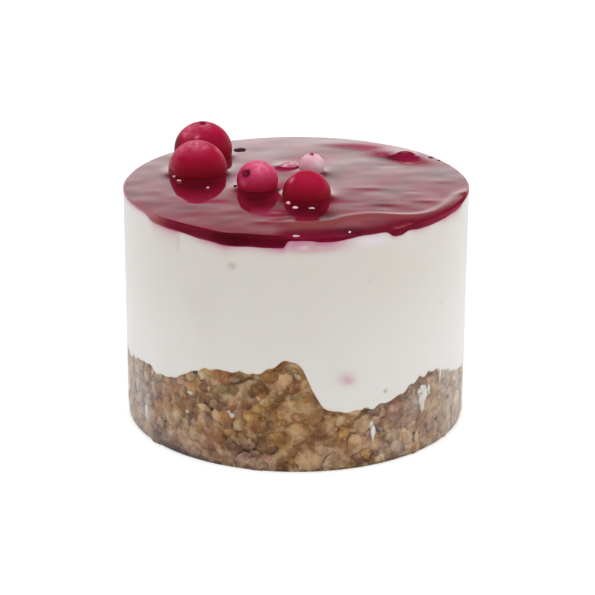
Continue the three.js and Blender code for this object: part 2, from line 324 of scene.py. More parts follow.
class Value:
    """A shader socket's value: arithmetic on it adds Math nodes to its finish."""

    def __init__(self, finish, socket):
        self.finish = finish
        self.socket = socket

    def math(self, operation, first, second):
        """One Math node."""
        return self.finish.node("ShaderNodeMath", {"operation": operation}, {0: first, 1: second})

    def __add__(self, other):
        return self.math("ADD", self, other)

    def __sub__(self, other):
        return self.math("SUBTRACT", self, other)

    def __rsub__(self, other):
        return self.math("SUBTRACT", other, self)

    def __mul__(self, other):
        return self.math("MULTIPLY", self, other)

    def __pow__(self, other):
        return self.math("POWER", self, other)

    __radd__ = __add__
    __rmul__ = __mul__

    def clamped(self):
        """Held between 0 and 1."""
        return self.finish.node("ShaderNodeClamp", {}, {0: self, 1: 0.0, 2: 1.0})

    def step(self, low, high):
        """A smooth step from 0 at low to 1 at high."""
        settings = {"interpolation_type": "SMOOTHSTEP"}
        return self.finish.node("ShaderNodeMapRange", settings, {0: self, 1: low, 2: high, 3: 0.0, 4: 1.0})


class Finish:
    """A procedural material, built node by node."""

    def __init__(self, name, owner=None):
        self.owner = owner or bpy.data.materials.new(name)
        self.owner.use_nodes = True
        self.tree = self.owner.node_tree
        self.tree.nodes.clear()

    def node(self, kind, settings, sockets, output=0):
        """Adds one node: settings first, then values or links of its sockets. Returns one output."""
        node = self.tree.nodes.new(kind)
        for key, setting in settings.items():
            setattr(node, key, setting)
        for key, value in sockets.items():
            if isinstance(value, Value):
                self.tree.links.new(value.socket, node.inputs[key])
            else:
                node.inputs[key].default_value = value
        return Value(self, node.outputs[output]) if node.outputs else None

    def place(self, output="Object"):
        """The place on the piece, or for the world the direction looked in."""
        return self.node("ShaderNodeTexCoord", {}, {}, output)

    def tint(self, channel=None):
        """The mesh's own colour at each point, or one of its four channels."""
        if channel == 3:
            return self.node("ShaderNodeAttribute", {"attribute_name": "tint"}, {}, "Alpha")
        colour = self.node("ShaderNodeAttribute", {"attribute_name": "tint"}, {}, "Color")
        if channel is None:
            return colour
        return self.node("ShaderNodeSeparateColor", {}, {"Color": colour}, channel)

    def height(self):
        """Height above the cake's underside."""
        return self.node("ShaderNodeSeparateXYZ", {}, {"Vector": self.place()}, 2)

    def upward(self):
        """How far the surface faces up: its normal's upright part."""
        normal = self.node("ShaderNodeNewGeometry", {}, {}, "Normal")
        return self.node("ShaderNodeSeparateXYZ", {}, {"Vector": normal}, 2)

    def noise(self, scale, detail, rough):
        """Cloudy noise from 0 to 1, with so many lumps to the metre."""
        sockets = {"Vector": self.place(), "Scale": scale, "Detail": detail, "Roughness": rough}
        return self.node("ShaderNodeTexNoise", {}, sockets)

    def blend(self, factor, first, second, mode="MIX"):
        """Mixes two colours, by the sockets for colour of a Mix node: 6 and 7 in, 2 out."""
        settings = {"data_type": "RGBA", "blend_type": mode}
        return self.node("ShaderNodeMix", settings, {0: factor, 6: first, 7: second}, 2)

    def bump(self, height, distance, strength):
        """A normal tilted as a height in shares of a distance in metres would tilt it."""
        sockets = {"Strength": strength, "Distance": distance, "Height": height}
        return self.node("ShaderNodeBump", {}, sockets)

    def skin(self, sockets):
        """Ends the finish in a Principled surface."""
        self.surface(self.node("ShaderNodeBsdfPrincipled", {}, sockets))

    def surface(self, shader):
        """Ends the finish in its owner's output, a material's or the world's."""
        world = isinstance(self.owner, bpy.types.World)
        kind = "ShaderNodeOutputWorld" if world else "ShaderNodeOutputMaterial"
        self.node(kind, {}, {"Surface": shader})


def crust_finish(name, gloss):
    """Baked crust: the bit's own colour, browned and toasted, with golden dust, crumbs and syrupy spots."""
    browned, toasted, golden = (0.56, 0.42, 0.34, 1), (0.66, 0.54, 0.44, 1), (0.70, 0.50, 0.30, 1)
    finish = Finish(name)
    toast = finish.noise(1100, 4, 0.65)
    mottle = finish.noise(420, 3, 0.6)
    syrup = finish.noise(230, 2, 0.5)
    colour = finish.blend(mottle.step(0.45, 0.66) * 0.8, finish.tint(), browned, "MULTIPLY")
    colour = finish.blend(toast.step(0.54, 0.70) * 0.5, colour, toasted, "MULTIPLY")
    colour = finish.blend((1 - mottle).step(0.50, 0.66) * 0.5, colour, golden)
    finish.skin({
        "Base Color": colour,
        "Roughness": 0.82 - gloss * syrup.step(0.50, 0.66),
        "Specular IOR Level": 0.4,
        "Normal": finish.bump(toast + mottle * 2.5, 0.0005, 0.8),
    })
    return finish.owner


def dress(piece, material, slot, *nodes):
    """Gives a finished piece its material and body, and hides the CAD nodes that it stands for. The slot is
    not used.
    """
    piece.data.materials.append(material)
    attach(piece, "root")
    if nodes:
        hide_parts(*nodes)


dress(granola_core(), crust_finish("crumb_crust", 0.3), "granola", "granola_base")

# Bits pressed into the core: name, how many are tried, half length, width and thickness, how far one
# leans in degrees, how deep its middle lies, gloss, and its colours
BITS = [
    ("granola_clusters", 320, (2.0, 1.6, 1.2), 45, (0.85, 1.5), 0.40, [
        (0.52, 0.280, 0.088), (0.46, 0.225, 0.072), (0.36, 0.155, 0.056), (0.60, 0.390, 0.190),
        (0.45, 0.240, 0.145),
    ]),
    ("oat_flakes", 240, (1.9, 1.4, 0.42), 28, (0.3, 1.0), 0.25, [
        (0.60, 0.410, 0.220), (0.64, 0.490, 0.290), (0.52, 0.320, 0.170), (0.48, 0.290, 0.200),
    ]),
    ("nut_chips", 220, (1.25, 0.95, 0.8), 80, (0.5, 1.1), 0.35, [
        (0.50, 0.290, 0.170), (0.56, 0.380, 0.200), (0.34, 0.160, 0.090), (0.70, 0.560, 0.340),
    ]),
    ("brown_seeds", 64, (1.2, 0.75, 0.5), 40, (0.3, 0.8), 0.45, [
        (0.150, 0.062, 0.040), (0.190, 0.085, 0.050), (0.120, 0.066, 0.050),
    ]),
    ("fine_crumbs", 2000, (0.62, 0.50, 0.42), 80, (0.50, 1.1), 0.30, [
        (0.50, 0.290, 0.110), (0.60, 0.410, 0.200), (0.36, 0.165, 0.075), (0.44, 0.230, 0.130),
    ]),
]
# The sequence that spreads the bits: its ratio, how far round each kind starts, lowest middle, reach up
PLASTIC_RATIO = 1.3247179572447460
KIND_TURN = 41.3
LOWEST_BIT = 0.4
BITS_REACH = 21.5
CREST_MARGIN = 0.1
# Rings and sides of a bit, and of one that is shorter than the small half length
BIT_GRID = (6, 8)
SMALL_BIT_GRID = (4, 6)
SMALL_BIT = 0.8
BIT_ROUGHNESS = 0.13
BIT_SHADES = (0.62, 1.24)
# Any lump: its waves' counts, its least size, how much larger, how rare that is, and its stretch each way
LUMP_WAVES = (2.2, 4.1, 7.3)
LUMP_LEAST = 0.6
LUMP_MORE = 0.7
LUMP_RARITY = 1.3
LUMP_STRETCH = (0.85, 1.15)


def ball_grid(rings, sides):
    """Polar angles, meridians, and unit directions on rings from the lower pole to the upper one."""
    polar = np.linspace(math.pi, 0, rings + 2)[1:-1, None]
    meridian = np.linspace(0, 2 * math.pi, sides, endpoint=False)
    ways = together(np.sin(polar) * np.cos(meridian), np.sin(polar) * np.sin(meridian), np.cos(polar))
    return polar, meridian, ways


def ball(rings, sides):
    """A unit ball's points in one row: ring by ring, then the lower pole and the upper one."""
    ways = ball_grid(rings, sides)[2]
    return np.concatenate([ways.reshape(-1, 3), [[0, 0, -1], [0, 0, 1]]])


def lumps(rng, count, rings, sides, half, lean, roughness):
    """
    Irregular balls, an array (count, points, 3) of aside, up and out. A radius is one plus three waves along
    random directions. The ball is stretched to its half sizes, leant about its length, and spun to face out.
    """
    shape = ball(rings, sides)
    ways = rng.normal(size=(count, 3, 3))
    ways = ways / np.linalg.norm(ways, axis=-1, keepdims=True)
    phases = rng.uniform(0, 2 * math.pi, (count, 1, 3))
    along = np.einsum("pk,cjk->cpj", shape, ways)
    radius = 1 + roughness * np.sin(along * np.array(LUMP_WAVES) + phases).sum(axis=-1)
    scale = LUMP_LEAST + LUMP_MORE * rng.random((count, 1, 1)) ** LUMP_RARITY
    stretched = rng.uniform(*LUMP_STRETCH, (count, 1, 3))
    points = shape * radius[..., None] * np.array(half) * scale * stretched
    tilt = np.radians(rng.uniform(-lean, lean, (count, 1)))
    spin = rng.uniform(0, 2 * math.pi, (count, 1))
    x, y, z = np.moveaxis(points, -1, 0)
    leant = y * np.cos(tilt) - z * np.sin(tilt)
    out = y * np.sin(tilt) + z * np.cos(tilt)
    return together(x * np.cos(spin) - leant * np.sin(spin), x * np.sin(spin) + leant * np.cos(spin), out)


def joined_balls(name, points, rings, sides, colours=None):
    """One mesh of many balls, points (count, points of one, 3), with each ball's faces moved on to it."""
    moves = np.arange(len(points))[:, None, None] * points.shape[1]
    faces = [(group + moves).reshape(-1, group.shape[-1]) for group in shell_faces(rings, sides)]
    return mesh_piece(name, points.reshape(-1, 3), faces, colours)


def pressed_bits(name, tries, half, lean, depth, tints, seed):
    """
    One joined mesh of bits pressed flat where they meet the film. Their middles follow the plastic-ratio
    sequence over the unrolled wall, which spreads them evenly, and those above the crest are left out.
    """
    rng = np.random.default_rng(seed)
    steps = np.arange(1, tries + 1)
    bearing = (seed * KIND_TURN + 360 * steps / PLASTIC_RATIO) % 360 - 180
    height = LOWEST_BIT + (steps / PLASTIC_RATIO ** 2 % 1) * BITS_REACH
    inside = height < swelling(CREST_LEVEL, CREST_SWELLS, bearing) - CREST_MARGIN
    bearing, height = bearing[inside, None], height[inside, None]
    count = len(bearing)
    rings, sides = SMALL_BIT_GRID if half[0] < SMALL_BIT else BIT_GRID
    bits = lumps(rng, count, rings, sides, half, lean, BIT_ROUGHNESS)
    aside, up, out = np.moveaxis(bits, -1, 0)
    middle = FOOD_RADIUS - rng.uniform(*depth, (count, 1))
    points = pressed(bearing + np.degrees(aside / FOOD_RADIUS), middle + out, height + up)
    colour = np.array(tints)[rng.integers(0, len(tints), count)] * rng.uniform(*BIT_SHADES, (count, 1))
    colour = patched(colour, bearing[:, 0], height[:, 0])
    behind_film = np.hypot(points[..., 0], points[..., 1]) - FOOD_RADIUS
    # Painted shade deeper behind the film, and painted light on each bit's upper left with painted shade
    # below
    painted_gap_shade = 0.45 + 0.55 * smooth(-1.9, -0.3, behind_film)
    painted_lit_side = np.clip((up - 0.4 * aside) / half[1], -1, 1)
    light = painted_gap_shade * (1 + 0.30 * painted_lit_side)
    colours = opaque(colour[:, None] * light[..., None])
    return joined_balls(name, points, rings, sides, colours)


for seed, (name, tries, half, lean, depth, gloss, tints) in enumerate(BITS):
    bits = pressed_bits(name, tries, half, lean, depth, tints, seed)
    dress(bits, crust_finish(name + "_crust", gloss), "granola")


# Cream cheese
# White cream cheese poured over the granola inside the band and set cold. It fills every dip of
# the crest, has a few air pits against the film, and is stained pink where jelly has run down.
CREAM_ROWS = 120
CREAM_END_RINGS = 5
CREAM_UNDERCUT = 2.2
CREAM_WAVER = 0.45
WAVES = 14
TUCK_DEPTH = 1.8
TUCK_HEIGHT = 0.5
DEEPEST_PIT = 0.6
# The cream's hidden ends: how far in each starts, how far below its wall, and how hollow the top is
UNDER_INSET = 3.5
UNDER_DROP = 0.5
TOP_INSET = 1.0
TOP_DROP = 0.2
TOP_HOLLOW = 0.6
JELLY_EDGE_LEVEL = 47.05
JELLY_EDGE_WAVER = 0.08
# Swells of the jelly's edge round the cake: rise, bearing, width
JELLY_EDGE_SWELLS = [
    (0.95, -98, 5), (-1.15, -54.5, 2.5), (-0.70, -34, 6), (-0.28, -25, 2), (0.33, -17.5, 2),
    (1.50, -3.0, 0.6), (-0.40, 6.2, 1), (0.40, 14, 3), (0.38, 19, 1.5), (-1.25, 31, 1.2),
    (0.65, 36.6, 1.1), (-0.25, 40, 1.2), (0.35, 56, 4), (0.60, 69, 3), (-1.13, 100, 6),
]
# Air pits in the cream: bearing, height, half width, half height, depth
CREAM_PITS = [
    (-20.2, 42.1, 0.75, 0.60, 0.30), (-40.3, 44.4, 0.40, 1.5, 0.16), (30.3, 15.5, 0.35, 0.30, 0.50),
    (54.9, 30.1, 0.30, 0.30, 0.30), (23.8, 38.9, 0.30, 0.25, 0.25),
]
# Pink stains, or cleaner spots where the strength is below nought: bearing, height, half width,
# half height, strength
PINK_STAINS = [
    (16.3, 19.3, 1.7, 1.3, 0.42), (17.6, 18.6, 0.9, 0.6, 0.25), (-33, 33.5, 2.5, 2.0, 0.05),
    (-30, 30.0, 4.0, 7.0, 0.05), (-12, 27.0, 5.0, 6.0, 0.03), (4, 30.0, 5.0, 7.0, 0.03),
    (3.5, 46.5, 6.0, 1.1, 0.42), (-0.5, 47.0, 1.8, 0.9, 0.20), (5.5, 45.9, 8.0, 0.8, 0.16),
    (-29, 45.9, 4.5, 0.7, 0.14), (11, 47.0, 4.0, 0.9, 0.28), (2.5, 46.4, 1.3, 0.45, -0.40),
    (8.0, 46.3, 1.0, 0.40, -0.25), (-15, 45.6, 6.0, 0.9, 0.16),
]
# Whiter cream against the film under the jelly: bearing, height, half width, half height, strength
WHITE_SMEARS = [
    (24, 46.8, 4.5, 1.2, 0.9), (2.5, 46.4, 1.3, 0.45, 0.8), (12, 46.7, 1.4, 0.5, 0.5),
    (-60, 46.6, 4.0, 0.8, 0.4), (130, 46.4, 6.0, 0.9, 0.6),
]
# How the jelly bleeds into the cream below its edge: depth, strength, a level and its swells round the cake
BLEED_DEPTH = 0.65
BLEED_STRENGTH = 0.62
BLEED_LEVEL = 0.5
BLEED_WAVER = 0.3
BLEED_LIMITS = (0.25, 1.6)
BLEED_SWELLS = [
    (0.45, -95, 6), (0.45, -56, 2), (-0.95, -39.5, 1), (0.75, -32.5, 1.5), (-0.6, -21, 1.5),
    (0.4, -10.5, 1.5), (-0.6, 16, 2), (0.4, 28, 1.5), (0.5, 54, 3), (-0.8, 72, 5),
]
# How far up from the crest crumbs stain the cream
CRUMB_STAIN = 0.22


def slow_wave(bearing, seed, least, most):
    """Waves round the cake: twice a mean of sines of whole turns, each weighted by one over their root."""
    rng = np.random.default_rng(seed)
    turns = rng.integers(least, most, WAVES)
    phases = rng.uniform(0, 2 * math.pi, WAVES)
    angle = np.radians(bearing)[..., None]
    weights = 1 / np.sqrt(turns)
    return (weights * np.sin(angle * turns + phases)).sum(axis=-1) / weights.sum() * 2


def jelly_edge(bearing):
    """Height of the line where jelly meets cream on the film: its swells round the cake and a waver."""
    waver = JELLY_EDGE_WAVER * slow_wave(bearing, seed=5, least=8, most=70)
    return swelling(JELLY_EDGE_LEVEL, JELLY_EDGE_SWELLS, bearing) + waver


def cream_cheese():
    """
    The cream's closed skin: its wall follows the film from under the crest to the jelly's edge, drawn in
    by pits and, under the crest, by one less exp of the depth. Its colours hold pink, pits, crumbs, white.
    """
    waver = CREAM_WAVER * slow_wave(wall_bearings, seed=9, least=30, most=90)
    crest = swelling(CREST_LEVEL, CREST_SWELLS, wall_bearings) + waver
    edge = jelly_edge(wall_bearings)
    low = crest - CREAM_UNDERCUT
    even = np.linspace(0, 1, CREAM_ROWS)[:, None]
    closer_at_ends = 0.5 * even + 0.25 * (1 - np.cos(math.pi * even))
    height = low + closer_at_ends * (edge - low)
    bearing = np.broadcast_to(wall_bearings, height.shape)
    tuck = TUCK_DEPTH * (1 - np.exp(-np.clip(crest - height, 0, None) / TUCK_HEIGHT))
    pits = marks(bearing, height, CREAM_PITS)
    wall = around(bearing, FOOD_RADIUS - tuck - np.clip(pits, 0, DEEPEST_PIT), height)
    waver = BLEED_WAVER * slow_wave(bearing, seed=12, least=9, most=50)
    spread = np.clip(swelling(BLEED_LEVEL, BLEED_SWELLS, bearing) + waver, *BLEED_LIMITS)
    bleed = BLEED_STRENGTH * spread * np.exp(-(edge - height) / (BLEED_DEPTH * spread))
    pink = marks(bearing, height, PINK_STAINS) + bleed
    crumbs = np.exp(-np.clip(height - crest, 0, None) / CRUMB_STAIN)
    white = marks(bearing, height, WHITE_SMEARS)
    colour = together(pink, smooth(0.03, 0.4, pits), crumbs, white)
    inwards = np.linspace(1, 0.02, CREAM_END_RINGS)[:, None]
    under = around(wall_bearings, inwards[::-1] * (FOOD_RADIUS - UNDER_INSET), low - UNDER_DROP)
    top_height = edge - TOP_DROP - TOP_HOLLOW * (1 - inwards)
    top = around(wall_bearings, inwards * (FOOD_RADIUS - TOP_INSET), top_height)
    plain = np.zeros((CREAM_END_RINGS, WALL_COLUMNS, 4))
    return closed_skin("cream", np.concatenate([under, wall, top]), np.concatenate([plain, colour, plain]))


def cream_finish():
    """Set cream: warmer painted shade towards the top and in air pits, clouded, and white, crumbed or pink
    where marked.
    """
    lower_cream, painted_shade_top, clouded = (0.825, 0.808, 0.775, 1), (0.728, 0.690, 0.628, 1), (0.770, 0.742, 0.700, 1)
    white, crumbed = (0.86, 0.77, 0.81, 1), (0.60, 0.46, 0.32, 1)
    pink, painted_pit_shade = (0.56, 0.15, 0.29, 1), (0.36, 0.31, 0.29, 1)
    finish = Finish("set_cream")
    cloud = finish.noise(45, 3, 0.5)
    dot_places = {"Vector": finish.place(), "Scale": 210.0, "Randomness": 1.0}
    dots = finish.node("ShaderNodeTexVoronoi", {}, dot_places)
    sparse = finish.noise(130, 1, 0.5).step(0.60, 0.68)
    pinholes = (1 - dots.step(0.04, 0.10)) * sparse
    # Painted shade: the cream turns darker and warmer from 12 to 46 mm up
    colour = finish.blend(finish.height().step(0.012, 0.046), lower_cream, painted_shade_top)
    colour = finish.blend(cloud.step(0.35, 0.7) * 0.5, colour, clouded)
    colour = finish.blend(finish.tint(3).clamped(), colour, white)
    colour = finish.blend((finish.tint(2) * 0.45).clamped(), colour, crumbed)
    colour = finish.blend(finish.tint(0).clamped(), colour, pink)
    # Painted shade in the air pits and pinholes
    colour = finish.blend((finish.tint(1) * 0.35 + pinholes * 0.4).clamped(), colour, painted_pit_shade)
    finish.skin({
        "Base Color": colour,
        "Roughness": 0.5,
        "Specular IOR Level": 0.3,
        "Subsurface Weight": 0.25,
        "Subsurface Radius": (1.0, 0.6, 0.45),
        "Subsurface Scale": 0.0012,
        "Normal": finish.bump(finish.noise(500, 2, 0.5) - pinholes, 0.0002, 0.2),
    })
    return finish.owner


cream_white = cream_finish()
dress(cream_cheese(), cream_white, "cream_cheese", "cream_filling")

# Cream caught between the bits and the film, placed where glints of light show on the film, so partly painted
# highlights: bearing, height, half width, half height, share of crumb in it
GLINT_CREAM_SMEARS = [
    (26.0, 7.0, 0.60, 1.9, 0.1), (25.3, 8.9, 0.50, 0.8, 0.9), (46.6, 13.3, 1.20, 1.2, 0.3),
    (47.3, 12.0, 1.15, 1.6, 0.0), (45.7, 11.0, 0.85, 1.4, 0.7), (46.4, 9.6, 0.75, 1.4, 1.0),
    (49.4, 12.6, 0.45, 1.3, 0.9), (44.6, 12.9, 0.50, 0.9, 1.0), (-59.5, 5.4, 0.50, 1.8, 0.0),
    (-20.7, 11.1, 0.75, 0.60, 1.5), (-21.7, 11.8, 0.45, 0.40, 1.7), (-36.3, 14.0, 0.80, 0.45, 1.5),
    (56.0, 14.6, 0.30, 1.9, 0.3), (118, 7.5, 0.6, 1.6, 0.3), (116.5, 9.0, 0.4, 0.9, 0.8),
    (163, 6.0, 0.6, 1.3, 0.4), (-131, 8.2, 0.8, 1.7, 0.1), (-132.6, 6.6, 0.5, 1.0, 0.7),
    (-96, 5.4, 0.4, 1.2, 0.5), (82, 6.6, 0.35, 1.5, 0.4),
]
SMEAR_GRID = (13, 16)
SMEAR_THICKNESS = 0.5
FILM_GAP = 0.02


def glint_cream_smears():
    """
    Flat upright drops pressed on the film: balls stretched to their half sizes, whose width grows evenly
    with the height in them and wavers with two sines of it. Their colours hold how crumbed they are.
    """
    bearing, level, wide, tall, crumb = np.array(GLINT_CREAM_SMEARS).T[:, :, None]
    x, y, z = ball(*SMEAR_GRID).T
    taper = 0.75 + 0.30 * z
    uneven = 1 + 0.16 * np.sin(5 * z + bearing) + 0.10 * np.sin(11 * z + 3 * x)
    aside = x * taper * wide * uneven
    depth = 0.12 + SMEAR_THICKNESS * (y * taper + 0.2)
    radius = FOOD_RADIUS - FILM_GAP - np.clip(depth, 0, None)
    points = around(bearing + np.degrees(aside / FOOD_RADIUS), radius, level + z * tall)
    colours = together(0.0, 0.0, crumb + smooth(0.3, -1.0, z), 0.0)
    return joined_balls("glint_cream_smears", points, *SMEAR_GRID, colours)


dress(glint_cream_smears(), cream_white, "cream_cheese")


# Jelly
# Dark red berry jelly poured on the set cream to the rim of the band. It is a hair domed, with slow
# ripples, creeps up the currants, and has a ridge beyond which it falls away at the front right.
JELLY_RADIUS = 34.89
JELLY_TOP = 48.50
JELLY_DOME = 0.00020
JELLY_TILT = 0.003
JELLY_COLUMNS = 720
JELLY_ROWS = 112
SIDE_ROWS = 6
EDGE_OVERLAP = 0.05
# The rounding at the rim: rows, width and its swells round the cake, share of the side, least and most drop
RIM_ROWS = 10
RIM_WIDTH = 0.35
RIM_SWELLS = [
    (0.45, -56, 4), (0.45, -46, 3), (-0.55, -28, 3), (0.85, -20, 2), (-1.15, -2.5, 1),
    (0.45, 36, 3), (-0.50, 76, 4),
]
RIM_SHARE = 0.6
RIM_DROPS = (0.05, 0.60)
# How deep the colour of the side looks, and its swells round the cake
SIDE_DEPTH = 0.45
SIDE_DEPTH_SWELLS = [
    (0.20, -44, 3), (0.30, -27, 2.5), (-0.15, -12, 3), (-0.30, -1, 1.5), (0.15, 36, 2), (-0.38, 46, 4),
]
THIN_EDGE = 0.18
# The ridge at the front right: radius, its swells round the cake, slope beyond it, sharpness of its bend,
# rise, how much higher it is on the right, width
RIDGE_RADIUS = 25.5
RIDGE_SWELLS = [(-1.7, 19, 3), (8.9, 43.8, 7.5), (2.4, 80.5, 3.5)]
RIDGE_FALL = 0.018
RIDGE_BEND = 1.2
RIDGE_RISE = 0.042
RIDGE_RISE_RIGHT = 0.036
RIDGE_WIDTH = 1.1
# The low swell at the back right: rise, radius, width
BACK_SWELL = 0.12
BACK_SWELL_RADIUS = 30.0
BACK_SWELL_WIDTH = 3.0
CREEP = 0.20
# Pools of painted shade, darker jelly round each large currant and in front of it where it mirrors the
# currant:
# reach before and behind a currant and width, as shares of its half width, how square their outline is, and
# where their edge fades
POOL_REACH = 3.2
POOL_BEHIND = 1.3
POOL_WIDTH = 1.2
POOL_SQUARENESS = 2.5
POOL_FADE = (0.48, 1.08)
# Half width past which a currant is a large one
LARGE_CURRANT = 4
# Dents and swells of the top: x, y, half width, half depth, rise
JELLY_DENTS = [
    (12.2, -15.0, 2.6, 1.1, 0.014), (15.8, -5.7, 2.6, 1.8, -0.018), (17.4, -16.2, 1.8, 1.1, -0.012),
    (23.3, -5.9, 2.0, 1.0, -0.012), (26.0, -11.6, 2.8, 1.2, 0.020), (-31.8, -1.3, 3.0, 2.4, -0.020),
    (-24.0, -9.0, 2.6, 1.6, 0.012), (-12.0, 23.9, 1.3, 0.9, -0.03), (-5.0, -20.6, 2.4, 0.9, 0.024),
    (-3.6, -23.4, 1.6, 0.8, 0.020), (-5.6, -25.2, 2.0, 0.9, 0.020), (-1.8, -18.6, 1.8, 0.8, 0.018),
    (14.0, -3.6, 4.0, 1.2, 0.018), (30.0, 1.5, 2.6, 1.6, 0.030), (17.6, -14.0, 3.4, 1.0, 0.014),
    (22.8, 21.5, 5.0, 4.0, 0.070), (-30.5, 6.0, 2.4, 2.0, 0.020), (-16.0, -19.5, 5.0, 1.6, 0.010),
    (-8.0, -26.0, 4.0, 2.4, 0.014), (19.0, 12.0, 3.0, 1.2, -0.014), (-24.0, -22.0, 8.0, 5.0, 0.014),
]
# Crimson clouds in the jelly: x, y, half width, half depth, strength
CRIMSON_CLOUDS = [
    (12, 27.5, 5.0, 2.0, 0.9), (15.8, 25.6, 3.0, 1.8, 1.0), (18.4, 21.0, 3.2, 2.4, 1.0),
    (23.6, 16.0, 3.6, 2.6, 0.8), (26.0, 20.5, 2.0, 2.0, 0.4), (-4.4, -21.0, 3.4, 2.2, 0.8),
    (14.0, -5.0, 4.0, 2.0, 0.30), (30.0, 1.5, 3.5, 2.5, 0.35), (-21.0, -22.0, 6.0, 4.0, 0.25),
    (-3.0, 9.4, 3.0, 1.8, 0.9), (-3.4, 5.6, 2.4, 2.2, 0.5), (1.0, 13.6, 2.4, 1.4, 0.4),
    (26.5, 13.0, 3.0, 1.6, 0.3), (-2.7, -1.2, 1.6, 3.2, 0.8), (1.5, 17.0, 5.5, 6.5, 0.35),
    (-3.0, -2.6, 0.9, 1.5, 1.0), (-15.2, -12.3, 2.4, 1.1, 1.1), (-19.5, -13.1, 3.6, 0.8, 0.9),
    (-3.6, -18.4, 2.8, 0.8, 0.8), (9.4, -12.6, 2.0, 0.8, 0.4),
]
# Milky pink spots on the jelly, painted highlights below the sunk currant and along the rim at the front
# right:
# x, y, half width, half depth, strength
MILKY_SPOTS_AND_HIGHLIGHTS = [
    (23.4, 14.0, 1.3, 1.0, 1.8), (26.0, 15.0, 1.2, 0.8, 1.0), (18.0, 20.0, 1.0, 0.7, 1.0),
    (-4.0, -19.6, 1.6, 0.6, 1.3), (-2.0, -22.2, 1.2, 0.6, 1.2), (-5.2, -25.0, 1.5, 0.7, 1.1),
    (-28.5, -6.5, 1.6, 1.2, 0.5), (19.6, -28.0, 0.9, 0.5, 1.2), (20.8, -27.0, 0.9, 0.5, 1.2),
    (22.0, -25.9, 0.8, 0.5, 0.9),
]
# Where the jelly is dull and darkened by painted shade in front of two currants: x, y, half width, half
# depth, strength
DULL_SHADED_PATCHES = [
    (-7.4, -13.2, 4.5, 5.4, 0.75), (2.2, -18.6, 5.2, 5.0, 0.80), (-1.4, -20.5, 2.2, 3.0, 0.45),
    (5.8, -20.5, 2.2, 3.0, 0.45),
]
DULL_LIMIT = 0.88
# Currants: centre, half sizes, and bearing and elevation of the flower end where one shows
BERRIES = {
    "currant_back_left": ((-19.65, 19.85, 49.6), (6.05, 5.75, 6.0), (4, 86)),
    "currant_front_left": ((-20.25, 7.6, 48.9), (6.05, 5.65, 6.0), (-140, 35)),
    "currant_middle": ((-7.75, -3.5, 49.9), (4.2, 4.1, 4.15), (-37, 37)),
    "currant_front_right": ((2.1, -8.8, 48.75), (4.9, 4.8, 4.85), (170, 25)),
    "currant_pale": ((3.2, 7.6, 49.7), (2.6, 2.5, 2.6), (0, 86)),
    "currant_sunk": ((22.9, 19.6, 46.65), (3.3, 2.7, 2.8), None),
    "currant_low": ((-1.6, 11.6, 47.0), (2.6, 2.3, 2.3), None),
}
LEAST_CUT = 0.05
FAR_AWAY = 99.0


def ripples(x, y, count, shortest, longest, slope, seed):
    """
    A sum of waves along random directions, with lengths spread evenly in ratio between two bounds, each
    with the same part of the given root mean square slope: amplitude is slope times length over 2 pi.
    """
    rng = np.random.default_rng(seed)
    length = shortest * (longest / shortest) ** rng.random(count)
    turn = rng.uniform(0, 2 * math.pi, count)
    phase = rng.uniform(0, 2 * math.pi, count)
    amplitude = slope * math.sqrt(2 / count) * length / (2 * math.pi)
    total = np.zeros(x.shape)
    for wave in range(count):
        along = x * math.cos(turn[wave]) + y * math.sin(turn[wave])
        total += amplitude[wave] * np.sin(2 * math.pi * along / length[wave] + phase[wave])
    return total


def from_berries(x, y):
    """Distance on the jelly's level from the nearest currant's waterline, nought inside it."""
    nearest = np.full(x.shape, FAR_AWAY)
    for (cx, cy, cz), (wide, deep, tall), _ in BERRIES.values():
        cut = math.sqrt(max(1 - ((JELLY_TOP - cz) / tall) ** 2, LEAST_CUT))
        away = (np.hypot((x - cx) / wide, (y - cy) / deep) - cut) * wide
        nearest = np.minimum(nearest, np.clip(away, 0, None))
    return nearest


def stretch(bearing, begin, full, fade, end):
    """Share of a stretch of the cake's round: it rises from begin to full and falls from fade to end."""
    return smooth(begin, full, bearing) * (1 - smooth(fade, end, bearing))


def ridge_side(bearing):
    """Share of the front right side where the ridge runs."""
    return stretch(bearing, -9, -1, 78, 90)


def outward_of_ridge(bearing, radius):
    """Share of the way from the ridge out to the film, below nought inside the ridge."""
    ridge = swelling(RIDGE_RADIUS, RIDGE_SWELLS, bearing)
    return (radius - ridge) / (JELLY_RADIUS + 0.2 - ridge)


def spots(x, y, rows):
    """Soft oval spots on the jelly, summed: each is its strength times exp of less its squared distance."""
    return sum(s * np.exp(-((x - cx) / w) ** 2 - ((y - cy) / d) ** 2) for cx, cy, w, d, s in rows)


def pools(x, y):
    """
    Share of painted shade round each large currant and in front of it, where the jelly mirrors it: one less a
    smooth step of the distance from it, with squarish lines of equal distance.
    """
    share = np.zeros(x.shape)
    for (cx, cy, _), (wide, _, _), _ in BERRIES.values():
        if wide > LARGE_CURRANT:
            reach = np.where(y < cy, POOL_REACH, POOL_BEHIND) * wide
            across = np.abs((x - cx) / (POOL_WIDTH * wide)) ** POOL_SQUARENESS
            along = np.abs((y - cy) / reach) ** POOL_SQUARENESS
            share = np.maximum(share, 1 - smooth(*POOL_FADE, (across + along) ** (1 / POOL_SQUARENESS)))
    return share


